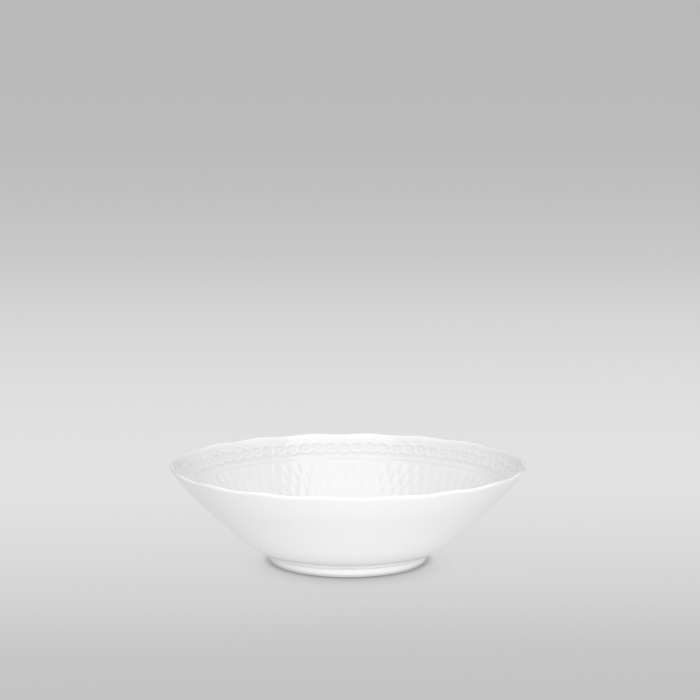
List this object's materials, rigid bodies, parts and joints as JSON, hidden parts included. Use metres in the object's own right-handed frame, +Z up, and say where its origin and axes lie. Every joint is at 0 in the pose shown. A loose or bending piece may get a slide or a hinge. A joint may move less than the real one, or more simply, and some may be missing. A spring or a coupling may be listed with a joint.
{
  "type": "porcelain serving bowl",
  "caption": "Round white porcelain serving bowl, flared wall with a gently lobed rim, moulded relief inside, on a low foot ring.",
  "frame": {"origin": "on the bowl's axis, in the plane of the foot ring's standing edge", "axes": "+Z up along the bowl's axis, out of the open side; +X and +Y level, with the crest of a rim lobe on +X and on -X, and a notch between two lobes on +Y and on -Y"},
  "size_m": [0.2332, 0.2324, 0.0651],
  "materials": {
    "glazed_porcelain": "gloss",
    "porcelain_body": "matt",
    "fired_slip": "matt"
  },
  "bodies": {
    "root": {"bowl_body": "porcelain_body", "foot_ring": "porcelain_body", "luting_slip": "fired_slip", "glaze_coat": "glazed_porcelain", "glaze_base": "glazed_porcelain"}
  },
  "joints": []
}
